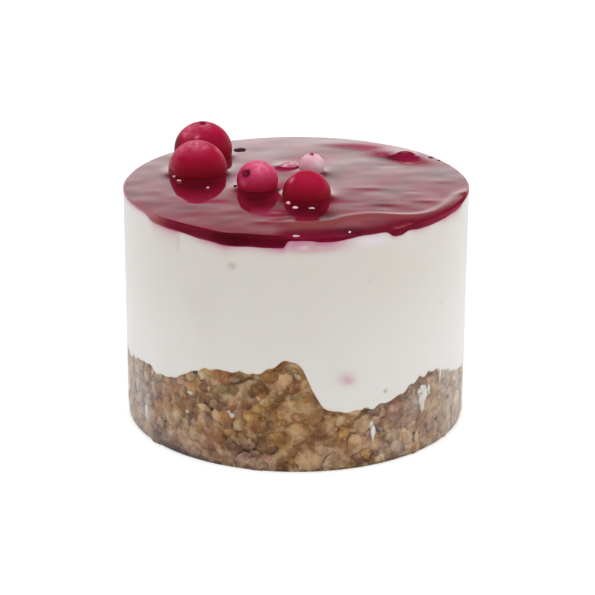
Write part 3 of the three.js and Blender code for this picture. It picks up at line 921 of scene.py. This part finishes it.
def jelly_height(x, y):
    """
    Height of the jelly's top: a flat dome with a slight tilt, ripples that calm near a currant, dents,
    the ridge with its fall, a low swell at the back right, and a creep up each currant of exp(-distance).
    """
    bearing = np.degrees(np.arctan2(x, -y))
    radius = np.hypot(x, y)
    away = from_berries(x, y)
    height = JELLY_TOP - JELLY_DOME * radius ** 2 + JELLY_TILT * x
    calm = 0.40 + 0.60 * smooth(0, 3.0, away)
    height = height + calm * ripples(x, y, count=46, shortest=4.0, longest=18.0, slope=0.0050, seed=3)
    height = height + spots(x, y, JELLY_DENTS)
    beyond = radius - swelling(RIDGE_RADIUS, RIDGE_SWELLS, bearing)
    fall = RIDGE_FALL * np.logaddexp(0, beyond * RIDGE_BEND) / RIDGE_BEND
    rise = RIDGE_RISE + RIDGE_RISE_RIGHT * smooth(44, 56, bearing)
    height = height + ridge_side(bearing) * (rise * np.exp(-(beyond / RIDGE_WIDTH) ** 2) - fall)
    swell = np.exp(-((radius - BACK_SWELL_RADIUS) / BACK_SWELL_WIDTH) ** 2)
    swell = swell * stretch(bearing, 112, 128, 160, 180)
    return height + BACK_SWELL * swell + CREEP * np.exp(-away)


def top_look(bearing, x, y):
    """
    Colours of the jelly's top in four channels: how far cream or milky spots show, how deep it looks,
    crimson, and wetness. It has painted shade in the pools and dull patches, painted highlights among the
    milky spots, and is thin just beyond the ridge and crimson near the film.
    """
    outward = outward_of_ridge(bearing, np.hypot(x, y))
    beyond = ridge_side(bearing) * smooth(-0.08, 0.06, outward)
    # Dull patches: painted shade and less wetness in front of two currants
    dull = np.clip(spots(x, y, DULL_SHADED_PATCHES), 0, DULL_LIMIT)
    # Painted shade: the pools and dull patches darken the jelly, a little less right beside a currant
    pool = np.maximum(pools(x, y), dull) * (0.75 + 0.25 * smooth(0.5, 4.0, from_berries(x, y)))
    uneven = ripples(x, y, count=24, shortest=5.0, longest=22.0, slope=1.0, seed=8)
    depth = 0.50 - 0.22 * smooth(-4, 10, -y) + 0.06 * uneven
    depth = depth + (0.95 - depth) * pool + 0.45 * beyond * smooth(0.20, 0.75, outward)
    thin = 0.95 * beyond * (1 - smooth(0.0, 0.62, outward)) * (1 - pool)
    clouds = spots(x, y, CRIMSON_CLOUDS)
    milky = spots(x, y, MILKY_SPOTS_AND_HIGHLIGHTS)
    near_film = beyond * smooth(0.5, 0.95, outward)
    crimson = (clouds * (1 - 0.5 * pool) + 0.25 * near_film) * (1 - np.clip(milky, 0, 1))
    wet = (1 - 0.75 * beyond * smooth(0.35, 0.8, outward)) * (1 - 0.80 * np.clip(clouds + milky, 0, 1))
    return together(thin + milky, depth, crimson, wet * (1 - dull))


def berry_jelly():
    """
    The jelly's closed skin: hidden underside, wall against the film, a rim rounded as a quarter ellipse,
    and the top. Its side and rim have a rosy, milky painted sheen at both ends of the front, and its side is
    crimson where it thins out over the cream.
    """
    bearing = np.linspace(-180, 180, JELLY_COLUMNS, endpoint=False)
    edge = jelly_edge(bearing) - EDGE_OVERLAP
    rim_width = swelling(RIM_WIDTH, RIM_SWELLS, bearing)
    inwards = np.linspace(1, 0.004, JELLY_ROWS)[:, None]
    top = around(bearing, inwards * (JELLY_RADIUS - rim_width), 0.0)
    x, y = top[..., 0], top[..., 1]
    top[..., 2] = jelly_height(x, y)
    brim = top[0, :, 2]
    rim_drop = np.clip(RIM_SHARE * (brim - edge), *RIM_DROPS)
    turn = np.linspace(0, math.pi / 2, RIM_ROWS + 1)[:-1, None]
    rim = around(bearing, JELLY_RADIUS - rim_width * (1 - np.cos(turn)), brim - rim_drop * (1 - np.sin(turn)))
    climb = np.linspace(0, 1, SIDE_ROWS + 1)[:-1, None]
    side_height = edge + climb * (brim - rim_drop - edge)
    side = around(bearing, JELLY_RADIUS, side_height)
    under = around(bearing, np.linspace(0.05, 0.95, HIDDEN_RINGS)[:, None] * JELLY_RADIUS, edge - 0.1)
    depth = swelling(SIDE_DEPTH, SIDE_DEPTH_SWELLS, bearing)
    thin = 0.8 * np.exp(-(side_height - edge) / THIN_EDGE)
    # Painted sheen: rosy and milky colour on the side and rim at both ends of the front
    rosy = stretch(bearing, -125, -100, -57, -44) + 0.8 * stretch(bearing, 74, 84, 115, 140)
    looks = np.concatenate([
        np.zeros((HIDDEN_RINGS, JELLY_COLUMNS, 4)),
        together(1.9 * rosy, depth * (1 - 0.3 * thin), thin * (1 - rosy), 0.0),
        together(1.9 * rosy, depth, 0.0, 0.5 * rosy)[None].repeat(RIM_ROWS, axis=0),
        top_look(bearing, x, y),
    ])
    return closed_skin("jelly", np.concatenate([under, side, rim, top]), looks)


def jelly_finish():
    """Set jelly: near black red where deep and in painted shade, rosy where cream shows through and as
    painted sheen, milky, crimson, wet on top.
    """
    thin_red, deep_red = (0.300, 0.0080, 0.040, 1), (0.062, 0.0034, 0.0062, 1)
    rosy, milky, crimson = (0.330, 0.080, 0.077, 1), (0.42, 0.17, 0.225, 1), (0.330, 0.008, 0.065, 1)
    finish = Finish("red_jelly")
    cloud = finish.noise(160, 3, 0.55)
    depth = (finish.tint(1) + (cloud - 0.5) * 0.3).clamped()
    colour = finish.blend(depth, thin_red, deep_red)
    colour = finish.blend(finish.tint(0).clamped(), colour, rosy)
    colour = finish.blend((finish.tint(0) - 1).clamped(), colour, milky)
    colour = finish.blend(finish.tint(2).clamped(), colour, crimson)
    finish.skin({
        "Base Color": colour,
        "Roughness": 0.30,
        "Specular IOR Level": 0.0,
        "Coat Weight": finish.upward().step(0.90, 0.985) * finish.tint(3),
        "Coat Roughness": 0.05,
        "Coat IOR": 1.6,
        "Normal": finish.bump(finish.noise(260, 2, 0.5), 0.0002, 0.05),
    })
    return finish.owner


dress(berry_jelly(), jelly_finish(), "berry_jelly", "berry_jelly")


# Currants
# Red currants pushed into the jelly before it sets. Each is a taut, slightly uneven ball with faint lines
# from pole to pole and the dried flower end at one pole. One is pink, one is pale, one lies low with a
# milky skin, and one has sunk.
BERRY_GRID = (64, 96)
DIMPLE = 0.06
DIMPLE_WIDTH = 0.20
# Waves that make a currant oval, lopsided and faintly pleated, as shares of its size
OVAL = 0.012
LOPSIDED = 0.010
PLEATED = 0.003
SKIN_SEED = 20
FLOWER_SEED = 40
UPRIGHT = (0, 90)
NEAR_UPRIGHT = 0.9
# Frost on each skin, partly painted highlights and sheen where light catches a top or an edge; where the
# strength is below nought it darkens, as painted shade on the darker sides and as a dark smudge round the
# middle currant's flower end: bearing and elevation of its middle, half width in degrees, strength
FROST_AND_PAINTED_LIGHT = {
    "currant_back_left": [(-80, 22, 19, -1.5), (-60, 48, 18, 0.9), (-14, 41, 5, 1.0), (20, 80, 16, 0.6)],
    "currant_front_left": [
        (-72, 8, 20, 0.6), (-25, 80, 20, 1.0), (85, 42, 10, 0.8), (-60, 50, 12, 0.5), (30, 62, 8, 0.5),
    ],
    "currant_middle": [
        (-78, 8, 14, -0.7), (-44, 30, 12, -1.0), (-62, 36, 7, -0.7), (10, 74, 26, 0.6), (20, 55, 30, 0.35),
        (-42, 8, 10, 0.6),
    ],
    "currant_front_right": [(-60, 45, 6, 1.2), (-85, 18, 20, -0.5)],
    "currant_pale": [(30, 20, 24, 0.7)],
    "currant_low": [(-40, 60, 14, 1.0), (60, 75, 12, 0.9), (40, 40, 8, 0.7)],
}
# How light spreads under a skin: weight, reach of red, green and blue, and scale in metres
DENSE_FLESH = (0.2, (1.0, 0.12, 0.12), 0.0010)
PALE_FLESH = (0.8, (1.0, 0.60, 0.60), 0.0028)
# Skins: the colour where a skin faces up and the colour where it faces down, painted light and shade by how
# it faces, the bloom, the colour of the foot by the jelly, painted light lifting its shade, and the flesh
# beneath
SKIN_LOOKS = {
    "red_currant": (
        (0.438, 0.0082, 0.047, 1), (0.350, 0.0085, 0.0240, 1), (0.76, 0.20, 0.31, 1),
        (0.370, 0.0130, 0.0260, 1), DENSE_FLESH,
    ),
    "pink_currant": (
        (0.67, 0.050, 0.155, 1), (0.66, 0.030, 0.110, 1), (0.84, 0.24, 0.36, 1),
        (0.78, 0.030, 0.095, 1), DENSE_FLESH,
    ),
    "pale_currant": (
        (0.88, 0.47, 0.57, 1), (0.97, 0.62, 0.71, 1), (0.97, 0.82, 0.85, 1),
        (0.97, 0.64, 0.72, 1), PALE_FLESH,
    ),
    "low_currant": (
        (0.66, 0.22, 0.31, 1), (0.44, 0.08, 0.13, 1), (0.95, 0.72, 0.78, 1),
        (0.50, 0.14, 0.20, 1), DENSE_FLESH,
    ),
    "sunk_currant": (
        (0.20, 0.0045, 0.019, 1), (0.17, 0.004, 0.016, 1), (0.72, 0.16, 0.27, 1),
        (0.24, 0.0060, 0.032, 1), DENSE_FLESH,
    ),
}
# The skin and the slot of each currant that isn't red
SKINS = {
    "currant_middle": ("pink_currant", "pink_currant_skin"),
    "currant_pale": ("pale_currant", "pale_currant_skin"),
    "currant_low": ("low_currant", "pale_currant_skin"),
    "currant_sunk": ("sunk_currant", "currant_skin"),
}
RED_SKIN = ("red_currant", "currant_skin")


def direction(bearing, elevation):
    """The unit vector at a bearing and an elevation above level."""
    flat = math.cos(math.radians(elevation))
    return around(bearing, flat, math.sin(math.radians(elevation)))


def pole_frame(flower):
    """Three unit vectors as columns: two across the pole, and the pole that points at the flower end."""
    pole = direction(*(flower or UPRIGHT))
    helper = np.array([0.0, 0.0, 1.0]) if abs(pole[2]) < NEAR_UPRIGHT else np.array([0.0, 1.0, 0.0])
    aside = np.cross(helper, pole)
    aside = aside / np.linalg.norm(aside)
    return np.column_stack([aside, np.cross(pole, aside), pole])


def currant(node, centre, half, flower, seed):
    """
    A ball on a grid of meridian and polar angle, stretched to its three half sizes: its unit radius is one,
    less a dimple at the flower end, plus low waves that make it uneven. Its colours hold lines, frost with
    its painted highlights and shade, and how near the jelly it is, for the painted light at its foot.
    """
    polar, meridian, ball_ways = ball_grid(*BERRY_GRID)
    dimple = DIMPLE * np.exp(-(polar / DIMPLE_WIDTH) ** 2)
    phases = np.random.default_rng(seed).uniform(0, 2 * math.pi, 3)
    uneven = OVAL * np.sin(2 * meridian + phases[0]) * np.sin(polar) ** 2
    uneven = uneven + LOPSIDED * np.sin(3 * meridian + phases[1]) * np.sin(polar) * np.cos(polar)
    uneven = uneven + PLEATED * np.sin(11 * meridian + phases[2]) * np.sin(polar) ** 2
    ways = ball_ways @ pole_frame(flower).T
    points = ways * (1 - dimple + uneven)[..., None] * np.array(half) + np.array(centre)
    lines = 1 - np.abs(np.sin(5.5 * meridian + 0.35 * np.sin(3 * polar))) ** 0.35
    frost = np.zeros(uneven.shape)
    for bearing, elevation, wide, strength in FROST_AND_PAINTED_LIGHT.get(node, []):
        apart = np.degrees(np.arccos(np.clip(ways @ direction(bearing, elevation), -1, 1)))
        frost += strength * np.exp(-(apart / wide) ** 2)
    # Nearness to the jelly, where the foot gets its painted light
    wet = 1 - smooth(0.2, 0.8 * half[2], points[..., 2] - JELLY_TOP)
    return closed_skin(node + "_skin", points, together(lines, frost, wet, 1.0))


def currant_finish(name, facing_up_colour, deep, bloom, painted_lit_foot, flesh):
    """Taut berry skin: painted light and shade by how it faces, faint lines, a painted lit foot, painted dark
    sides, frosty bloom.
    """
    painted_shade_and_smudge = (0.14, 0.0055, 0.013, 1)
    weight, reach, scale = flesh
    finish = Finish(name)
    cloud = finish.noise(330, 3, 0.55)
    grain = finish.noise(900, 4, 0.65)
    upward = finish.upward()
    # Painted light and shade: the skin goes from its facing down colour to its facing up colour as it turns
    # up
    painted_facing_shade = ((upward + 0.35 * cloud).step(-0.15, 0.95) * (1 - 0.35 * finish.tint(0))).clamped()
    colour = finish.blend(painted_facing_shade, deep, facing_up_colour)
    # Painted light at the foot by the jelly, lifting its shade
    colour = finish.blend((finish.tint(2) * 0.85).clamped(), colour, painted_lit_foot)
    # Painted shade where the frost strength is below nought
    colour = finish.blend((finish.tint(1) * -1).clamped(), colour, painted_shade_and_smudge)
    # Frost bloom, which also paints highlights and sheen
    cover = (finish.tint(1) * (0.35 + 0.65 * grain.step(0.40, 0.62)) * 1.1).clamped()
    colour = finish.blend(cover, colour, bloom)
    finish.skin({
        "Base Color": colour,
        "Roughness": 0.38 + 0.25 * cover,
        "Specular IOR Level": 0.03,
        "Subsurface Weight": weight,
        "Subsurface Radius": reach,
        "Subsurface Scale": scale,
        "Normal": finish.bump(grain + cloud, 0.0003, 0.15),
    })
    return finish.owner


skin_finishes = {name: currant_finish(name, *look) for name, look in SKIN_LOOKS.items()}
for number, (node, (centre, half, flower)) in enumerate(BERRIES.items()):
    skin, slot = SKINS.get(node, RED_SKIN)
    dress(currant(node, centre, half, flower, SKIN_SEED + number), skin_finishes[skin], slot, node)

# Flower end: radius and length, radius and height along its wall as shares of them, how far each of these
# points sways with the tips, and how far its foot is out from the currant's middle
FLOWER_RADIUS = 0.68
FLOWER_LENGTH = 0.50
FLOWER_SIDES = 24
FLOWER_TIPS = 5
FLOWER_PROFILE = [
    (0.02, -0.45), (0.78, -0.45), (0.72, 0.0), (0.88, 0.35), (1.0, 0.6), (0.80, 0.55), (0.42, 0.2),
    (0.02, 0.15),
]
FLOWER_SWAY = [0, 0, 0.05, 0.15, 0.30, 0.22, 0.08, 0]
FLOWER_SEAT = 0.94


def flower_end(centre, half, flower, seed):
    """
    Rings of a dried flower end, a short cup whose wall flares and whose tips curl unevenly: its radius and
    rise are a profile plus a cosine wave of five tips, crumpled by a random share at each side.
    """
    rng = np.random.default_rng(seed)
    meridian = np.linspace(0, 2 * math.pi, FLOWER_SIDES, endpoint=False)
    tips = 0.5 + 0.5 * np.cos(FLOWER_TIPS * meridian + rng.uniform(0, 6))
    crumple = rng.uniform(0.85, 1.15, FLOWER_SIDES)
    profile = np.array(FLOWER_PROFILE)
    wave = np.array(FLOWER_SWAY)[:, None] * (tips - 0.4) * crumple
    radius = FLOWER_RADIUS * min(1, half[0] / LARGE_CURRANT) * (profile[:, :1] + 0.4 * wave)
    rise = FLOWER_LENGTH * (profile[:, 1:] + wave)
    cup = together(radius * np.cos(meridian), radius * np.sin(meridian), rise)
    axes = pole_frame(flower)
    reach = FLOWER_SEAT / np.linalg.norm(axes[:, 2] / np.array(half))
    return cup @ axes.T + np.array(centre) + axes[:, 2] * reach


def dried_finish(name, dark, light):
    """Dried sepals: dark, lighter in cloudy patches, dull."""
    finish = Finish(name)
    cloud = finish.noise(1500, 3, 0.6)
    colour = finish.blend(cloud.step(0.35, 0.7), dark, light)
    finish.skin({
        "Base Color": colour,
        "Roughness": 0.75,
        "Specular IOR Level": 0.1,
        "Normal": finish.bump(cloud, 0.0002, 0.5),
    })
    return finish.owner


dried = dried_finish("dried_sepals", (0.120, 0.005, 0.018, 1), (0.30, 0.018, 0.055, 1))
pale_dried = dried_finish("pale_dried_sepals", (0.42, 0.035, 0.10, 1), (0.58, 0.12, 0.22, 1))
for number, (node, (centre, half, flower)) in enumerate(BERRIES.items()):
    if flower:
        tuft = closed_skin(node + "_flower", flower_end(centre, half, flower, FLOWER_SEED + number))
        dress(tuft, pale_dried if node == "currant_pale" else dried, SKINS.get(node, RED_SKIN)[1])


# Glints and scraps
# Milky white drops stand on the jelly by the currants as painted glints of light, and crumbs of dried
# sepal and skin have fallen on it. Each is an irregular ball pressed flat, and each kind is one joined mesh.
SPECK_GRID = (7, 10)
SPECK_ROUGHNESS = 0.06
# Drops that paint glints: x, y, height of the middle, half width, half depth
GLINT_DROPS = [
    (-23.7, 0.9, 48.50, 0.80, 0.60), (-24.9, 3.8, 48.55, 0.35, 0.60), (-17.75, -3.6, 48.44, 0.35, 0.45),
    (-1.55, -13.7, 48.50, 0.50, 0.80), (-0.1, -16.6, 48.42, 0.50, 0.45), (3.1, -16.9, 48.42, 0.85, 0.50),
    (0.0, -33.6, 48.25, 0.85, 0.50), (6.0, -6.8, 48.50, 0.30, 0.50), (10.2, -30.9, 48.22, 0.30, 0.60),
]
# Scraps: x, y, half width, half depth
DARK_SCRAPS = [
    (-12.0, 23.9, 1.2, 0.8), (-12.2, -2.8, 0.55, 0.6), (20.6, 17.0, 0.35, 0.3), (28.3, 18.6, 0.5, 0.3),
    (29.9, 16.6, 0.4, 0.3),
]


def scattered_lumps(name, rows, flatness, lift, seed):
    """Joined lumps at given places, each an irregular ball of its own half sizes, flattened by a share."""
    rng = np.random.default_rng(seed)
    bits = lumps(rng, len(rows), *SPECK_GRID, (1.0, 1.0, 1.0), 0, SPECK_ROUGHNESS)
    x, y, z, wide, deep = np.array(rows).T
    tall = flatness * np.minimum(wide, deep)
    points = bits * together(wide, deep, tall)[:, None] + together(x, y, z + lift * tall)[:, None]
    return joined_balls(name, points, *SPECK_GRID)


def glint_finish():
    """Painted glint: milky pink white, wet."""
    finish = Finish("painted_glint")
    cloud = finish.noise(900, 3, 0.6)
    colour = finish.blend(cloud.step(0.35, 0.7), (0.84, 0.40, 0.48, 1), (0.92, 0.74, 0.76, 1))
    finish.skin({"Base Color": colour, "Roughness": 0.12, "Normal": finish.bump(cloud, 0.0002, 0.3)})
    return finish.owner


drops = scattered_lumps("glint_drops", GLINT_DROPS, flatness=0.6, lift=0.0, seed=61)
dress(drops, glint_finish(), "pale_currant_skin")
x, y, wide, deep = np.array(DARK_SCRAPS).T
scrap_places = together(x, y, jelly_height(x, y), wide, deep)
scraps = scattered_lumps("dark_scraps", scrap_places, flatness=0.35, lift=0.3, seed=62)
scrap_brown = Finish("scrap_brown")
scrap_brown.skin({"Base Color": (0.045, 0.018, 0.024, 1), "Roughness": 0.5, "Specular IOR Level": 0.1})
dress(scraps, scrap_brown.owner, "currant_skin")


# Clear band
# A strip of clear food film rolled round the cake and standing on the same surface. It is smooth and
# glossy, and bellies in and out very slightly, so that it catches the light in upright streaks.
BAND_INNER = 34.87
BAND_OUTER = 34.98
BAND_HEIGHT = 48.3
BAND_COLUMNS = 480
BAND_ROWS = 25
BAND_BELLY = 0.016
SHARP_CORNER = 40
# How strongly the film mirrors when seen flat, the power of that, and how much less where jelly clings
FILM_MIRROR = 0.52
FILM_POWER = 2.2
CLINGING_LESS = 0.75


def clear_band():
    """
    The film's closed skin, an upright ring: both its radii have slow waves round the cake added, times a
    half sine from foot to rim.
    """
    bearing = np.linspace(-180, 180, BAND_COLUMNS, endpoint=False)
    rows = np.linspace(0, BAND_HEIGHT, BAND_ROWS)[:, None]
    waves = slow_wave(bearing, seed=30, least=4, most=26)
    belly = BAND_BELLY * waves * np.sin(math.pi * rows / BAND_HEIGHT)
    outside = around(bearing, BAND_OUTER + belly, rows)
    inside = around(bearing, BAND_INNER + belly, rows)[::-1]
    rings = np.concatenate([outside, inside])
    here = np.arange(BAND_COLUMNS)
    after = np.roll(here, -1)
    first = np.arange(2 * BAND_ROWS)[:, None] * BAND_COLUMNS
    second = np.roll(first, -1, axis=0)
    quads = np.stack([first + here, first + after, second + after, second + here], axis=-1)
    piece = mesh_piece("film", rings.reshape(-1, 3), [quads.reshape(-1, 4)])
    piece.data.set_sharp_from_angle(angle=math.radians(SHARP_CORNER))
    return piece


def film_finish():
    """
    Clear film: it lets light straight through, and its outer face mirrors more of it the flatter it is
    seen, though less where the wet jelly clings to it.
    """
    finish = Finish("clear_film")
    clear = finish.node("ShaderNodeBsdfTransparent", {}, {"Color": (0.99, 0.99, 0.99, 1)})
    gloss = finish.node("ShaderNodeBsdfGlossy", {}, {"Color": (0.70, 0.70, 0.70, 1), "Roughness": 0.08})
    slant = finish.node("ShaderNodeLayerWeight", {}, {"Blend": 0.5}, "Facing")
    outer = 1 - finish.node("ShaderNodeNewGeometry", {}, {}, "Backfacing")
    clinging = finish.height().step(0.0464, 0.0474)
    factor = (slant ** FILM_POWER * FILM_MIRROR * outer * (1 - CLINGING_LESS * clinging)).clamped()
    finish.surface(finish.node("ShaderNodeMixShader", {}, {0: factor, 1: clear, 2: gloss}))
    return finish.owner


dress(clear_band(), film_finish(), "clear_film", "clear_band")


# Setting
# A white light table under soft light that is bright low down, least on the camera's side, dark above
# that, and bright again overhead. The camera stands where the photograph was taken.
TABLE_REACH = 3.0
# Light by height of the direction: where the low band ends, where the ceiling begins, and how bright the
# dark between them is, the band on its dim side and how much more on its bright side, and the ceiling
BAND_END = (0.225, 0.385)
CEILING_START = (0.74, 0.90)
SHADE_LIGHT = 0.04
DIM_LIGHT = 0.52
BRIGHTER = 1.16
CEILING_LIGHT = 2.6
DIM_SIDE = 20
CAMERA_TILT = 20.07
CAMERA_DISTANCE = 450.0
CAMERA_LENS = 132.1
SENSOR_WIDTH = 36.0
CAMERA_ROLL = 0.24
AIM_ASIDE = 0.37
AIM_BELOW = 0.39


def light_table():
    """A flat white square that also glows a little, so that the cake throws hardly any shadow on it."""
    corners = np.array([(-1, -1, 0), (1, -1, 0), (1, 1, 0), (-1, 1, 0)]) * TABLE_REACH / MM
    table = mesh_piece("light_table", corners, [np.array([[0, 1, 2, 3]])])
    finish = Finish("white_table")
    finish.skin({
        "Base Color": (0.55, 0.55, 0.55, 1),
        "Roughness": 0.9,
        "Specular IOR Level": 0.0,
        "Emission Color": (1, 1, 1, 1),
        "Emission Strength": 0.65,
    })
    table.data.materials.append(finish.owner)


def soft_light():
    """Radiance by direction: a low band, dimmest a little left of the camera, and a ceiling panel."""
    world = bpy.data.worlds.new("soft_light")
    bpy.context.scene.world = world
    finish = Finish("soft_light", world)
    toward = {"Vector": finish.place("Generated")}
    right, back, up = [finish.node("ShaderNodeSeparateXYZ", {}, toward, axis) for axis in range(3)]
    away = right * math.sin(math.radians(DIM_SIDE)) + back * math.cos(math.radians(DIM_SIDE))
    band = 1 - up.step(*BAND_END)
    ceiling = up.step(*CEILING_START)
    side_light = DIM_LIGHT + BRIGHTER * away.step(-1.0, 0.7)
    light = SHADE_LIGHT + band * side_light + ceiling * CEILING_LIGHT
    colour = finish.node("ShaderNodeCombineXYZ", {}, {0: light, 1: light, 2: light})
    finish.surface(finish.node("ShaderNodeBackground", {}, {"Color": colour, "Strength": 1.0}))


def photograph_camera():
    """A camera 0.45 m from the cake's middle, 20 degrees above level, rolled and aimed a hair off."""
    tilt = math.radians(CAMERA_TILT)
    camera = bpy.data.cameras.new("photograph")
    camera.sensor_width = SENSOR_WIDTH
    camera.lens = CAMERA_LENS
    holder = bpy.data.objects.new("photograph", camera)
    bpy.context.scene.collection.objects.link(holder)
    behind = CAMERA_DISTANCE * math.cos(tilt) + AIM_BELOW * math.sin(tilt)
    above = BAND_HEIGHT / 2 + CAMERA_DISTANCE * math.sin(tilt) - AIM_BELOW * math.cos(tilt)
    holder.location = (AIM_ASIDE * MM, -behind * MM, above * MM)
    holder.rotation_mode = "ZYX"
    holder.rotation_euler = (math.pi / 2 - tilt, 0, math.radians(CAMERA_ROLL))
    bpy.context.scene.camera = holder


light_table()
soft_light()
photograph_camera()
bpy.context.scene.view_settings.view_transform = "Standard"
